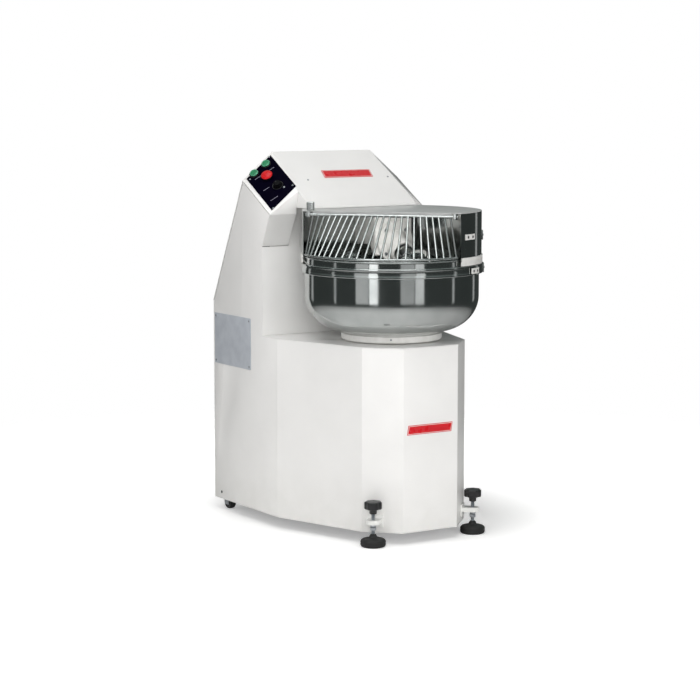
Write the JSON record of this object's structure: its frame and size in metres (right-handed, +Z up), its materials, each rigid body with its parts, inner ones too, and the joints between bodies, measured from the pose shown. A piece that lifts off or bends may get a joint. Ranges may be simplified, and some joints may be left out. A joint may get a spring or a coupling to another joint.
{
  "type": "fork dough mixer",
  "caption": "Floor-standing fork dough mixer: folded sheet tower and faceted pedestal, turning round bowl, inclined two-tine fork, lift-up wire guard, side controls and screw-down front feet.",
  "frame": {"origin": "centre of the footprint, on the floor", "axes": "+Z up; -Y is the front, where the bowl and the two screw-down feet are; +X is the right-hand side seen from the front; the bowl turns about the vertical line 0.176 m in front of the origin"},
  "size_m": [0.6298, 0.9514, 1.252],
  "materials": {
    "white_paint": "gloss",
    "cast_paint": "satin",
    "stainless": "polished",
    "bright_steel": "machined",
    "nylon": "matte",
    "grey_plate": "satin",
    "black_plastic": "satin",
    "rubber": "matte",
    "panel_film": "gloss",
    "green_plastic": "gloss",
    "red_plastic": "gloss",
    "red_badge": "gloss",
    "motor_paint": "painted",
    "gearbox_cast": "cast"
  },
  "bodies": {
    "machine": {"base_plate": "bright_steel", "mast": "bright_steel", "apron": "white_paint", "pedestal_top": "white_paint", "side_panel_left": "white_paint", "side_panel_right": "white_paint", "tower_front_panel": "white_paint", "head_hood": "white_paint", "rear_hood": "white_paint", "rear_panel": "white_paint", "castor_bracket_left": "bright_steel", "castor_bracket_right": "bright_steel", "bowl_bearing_housing": "bright_steel", "bowl_bearing_upper": "bright_steel", "bowl_bearing_lower": "bright_steel", "head_nose": "cast_paint", "fork_flange": "cast_paint", "fork_bearing": "bright_steel", "fork_gearbox": "gearbox_cast", "bowl_gearbox": "gearbox_cast", "drive_motor": "motor_paint", "fork_belt": "rubber", "bowl_belt": "rubber", "guard_sheet": "stainless", "guard_skirt": "nylon", "guard_cover": "grey_plate", "guard_hinge_left": "stainless", "guard_hinge_right": "stainless", "interlock_switch": "stainless", "guard_stay_upper": "stainless", "guard_stay_lower": "stainless", "control_plate": "panel_film", "control_box": "black_plastic", "electrical_cover": "grey_plate", "badge_head": "red_badge", "badge_front": "red_badge", "foot_bracket_left": "white_paint", "foot_bracket_right": "white_paint"},
    "bowl": {"bowl": "stainless", "bowl_band": "stainless", "bowl_collar": "nylon", "bowl_spindle": "bright_steel"},
    "fork": {"fork": "stainless", "fork_shaft": "bright_steel"},
    "motor_shaft": {"motor_pulley": "bright_steel"},
    "fork_drive": {"fork_pulley": "bright_steel"},
    "bowl_drive": {"bowl_pulley": "bright_steel"},
    "guard_flap": {"guard_flap": "stainless"},
    "start_one": {"start_button_one": "green_plastic"},
    "start_two": {"start_button_two": "green_plastic"},
    "stop": {"emergency_stop": "red_plastic"},
    "dial": {"timer_dial": "black_plastic"},
    "foot_pad_left": {"foot_pad_left": "rubber"},
    "foot_screw_left": {"foot_screw_left": "bright_steel"},
    "foot_pad_right": {"foot_pad_right": "rubber"},
    "foot_screw_right": {"foot_screw_right": "bright_steel"},
    "castor_left": {"castor_wheel_left": "black_plastic"},
    "castor_right": {"castor_wheel_right": "black_plastic"}
  },
  "joints": [
    {"name": "fork_turn", "type": "hinge", "parent": "machine", "child": "fork", "pos_m": [0.122, -0.006, 0.95], "axis": [0, -0.866, -0.5], "continuous": true},
    {"name": "bowl_turn", "type": "hinge", "parent": "machine", "child": "bowl", "pos_m": [0, -0.176, 0.7], "axis": [0, 0, 1], "continuous": true},
    {"name": "motor_turn", "type": "hinge", "parent": "machine", "child": "motor_shaft", "pos_m": [0.19, 0.314, 0.4], "axis": [1, 0, 0], "continuous": true},
    {"name": "fork_pulley_turn", "type": "hinge", "parent": "machine", "child": "fork_drive", "pos_m": [0.21, 0.204, 1.05], "axis": [1, 0, 0], "continuous": true},
    {"name": "bowl_pulley_turn", "type": "hinge", "parent": "machine", "child": "bowl_drive", "pos_m": [0.15, -0.176, 0.375], "axis": [1, 0, 0], "continuous": true},
    {"name": "guard_flap_hinge", "type": "hinge", "parent": "machine", "child": "guard_flap", "pos_m": [0.07661, -0.46191, 1.058], "axis": [-0.6626, 0.749, 0], "range_deg": [0, 100]},
    {"name": "start_one_press", "type": "slide", "parent": "machine", "child": "start_one", "axis": [0.5815, 0.4099, -0.7027], "range_m": [0, 0.004], "stiffness_N_per_m": 400},
    {"name": "start_two_press", "type": "slide", "parent": "machine", "child": "start_two", "axis": [0.5815, 0.4099, -0.7027], "range_m": [0, 0.004], "stiffness_N_per_m": 400},
    {"name": "stop_press", "type": "slide", "parent": "machine", "child": "stop", "axis": [0.5815, 0.4099, -0.7027], "range_m": [0, 0.004], "stiffness_N_per_m": 600},
    {"name": "timer_dial_turn", "type": "hinge", "parent": "machine", "child": "dial", "pos_m": [-0.24555, 0.14346, 1.14208], "axis": [0.5815, 0.4099, -0.7027], "range_deg": [0, 270]},
    {"name": "foot_travel_left", "type": "slide", "parent": "machine", "child": "foot_pad_left", "axis": [0, 0, -1], "range_m": [0, 0.014]},
    {"name": "foot_screw_turn_left", "type": "hinge", "parent": "foot_pad_left", "child": "foot_screw_left", "pos_m": [-0.19694, -0.36901, 0.06], "axis": [0, 0, -1], "range_deg": [0, 2895]},
    {"name": "castor_turn_left", "type": "hinge", "parent": "machine", "child": "castor_left", "pos_m": [-0.28, 0.424, 0.025], "axis": [1, 0, 0], "continuous": true},
    {"name": "foot_travel_right", "type": "slide", "parent": "machine", "child": "foot_pad_right", "axis": [0, 0, -1], "range_m": [0, 0.014]},
    {"name": "foot_screw_turn_right", "type": "hinge", "parent": "foot_pad_right", "child": "foot_screw_right", "pos_m": [0.19694, -0.36901, 0.06], "axis": [0, 0, -1], "range_deg": [0, 2895]},
    {"name": "castor_turn_right", "type": "hinge", "parent": "machine", "child": "castor_right", "pos_m": [0.28, 0.424, 0.025], "axis": [1, 0, 0], "continuous": true}
  ],
  "couplings": [
    {"joint": "bowl_turn", "follows": "fork_turn", "ratio": -0.2},
    {"joint": "fork_pulley_turn", "follows": "fork_turn", "ratio": 12},
    {"joint": "motor_turn", "follows": "fork_turn", "ratio": 20},
    {"joint": "bowl_pulley_turn", "follows": "fork_turn", "ratio": 10},
    {"joint": "foot_screw_turn_left", "follows": "foot_travel_left", "rad_per_m": 3590.4},
    {"joint": "foot_screw_turn_right", "follows": "foot_travel_right", "rad_per_m": 3590.4}
  ]
}
